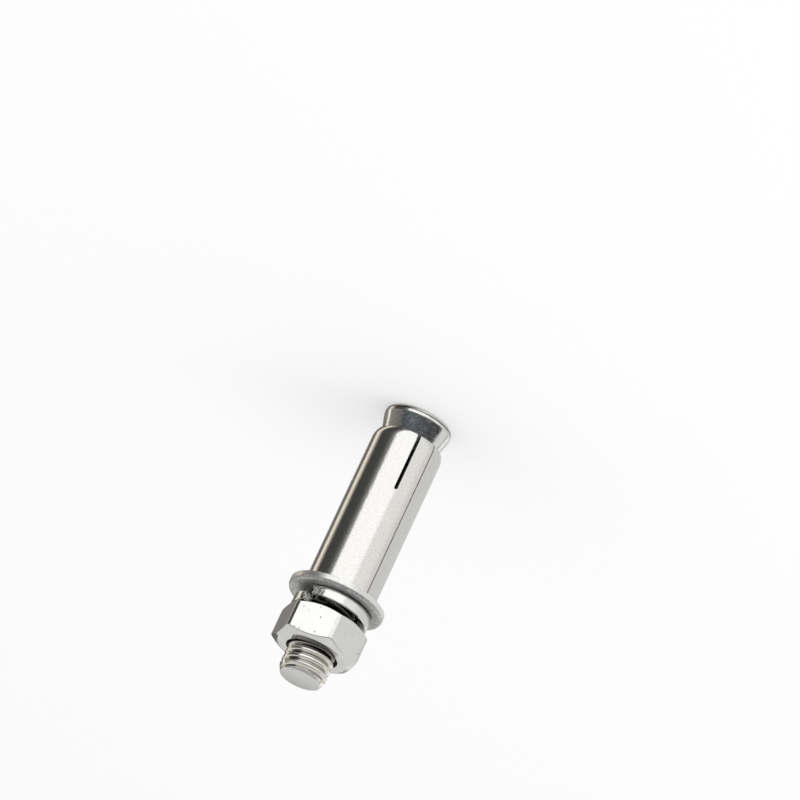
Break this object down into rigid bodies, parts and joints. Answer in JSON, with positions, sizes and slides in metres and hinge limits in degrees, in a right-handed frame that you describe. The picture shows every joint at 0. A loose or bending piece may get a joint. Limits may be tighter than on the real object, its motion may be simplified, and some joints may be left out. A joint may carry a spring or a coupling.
{
  "type": "expansion bolt",
  "caption": "Sleeve anchor: a threaded stud with a cone at one end in a slit sleeve, with a flat washer, a split spring washer and a hexagon nut.",
  "frame": {"origin": "centre of the cone's flat end face, which the anchor stands on", "axes": "+Z along the bolt, from the cone to the threaded end; the saw slits lie on +X, +Y, -X and -Y"},
  "size_m": [0.016, 0.016, 0.0482],
  "materials": {
    "bolt_steel": "rolled thread and turned cone, bright with fine drawing marks",
    "sleeve_steel": "bright rolled strip, finely brushed along its length",
    "washer_steel": "tumbled satin",
    "spring_steel": "drawn wire, bright",
    "nut_steel": "bright pressed faces with a few small pits"
  },
  "bodies": {
    "bolt": {"cone_bolt": "bolt_steel"},
    "sleeve": {"expansion_sleeve": "sleeve_steel", "flat_washer": "washer_steel", "spring_washer": "spring_steel"},
    "nut": {"hex_nut": "nut_steel"}
  },
  "joints": [
    {"name": "sleeve_slide", "type": "slide", "parent": "bolt", "child": "sleeve", "axis": [0, 0, 1], "range_m": [0, 0.01063]},
    {"name": "nut_turn", "type": "hinge", "parent": "sleeve", "child": "nut", "pos_m": [0, 0, 0.04035], "axis": [0, 0, 1], "range_deg": [0, 3060]}
  ],
  "couplings": [
    {"joint": "sleeve_slide", "follows": "nut_turn", "m_per_rad": 0.00019894}
  ]
}
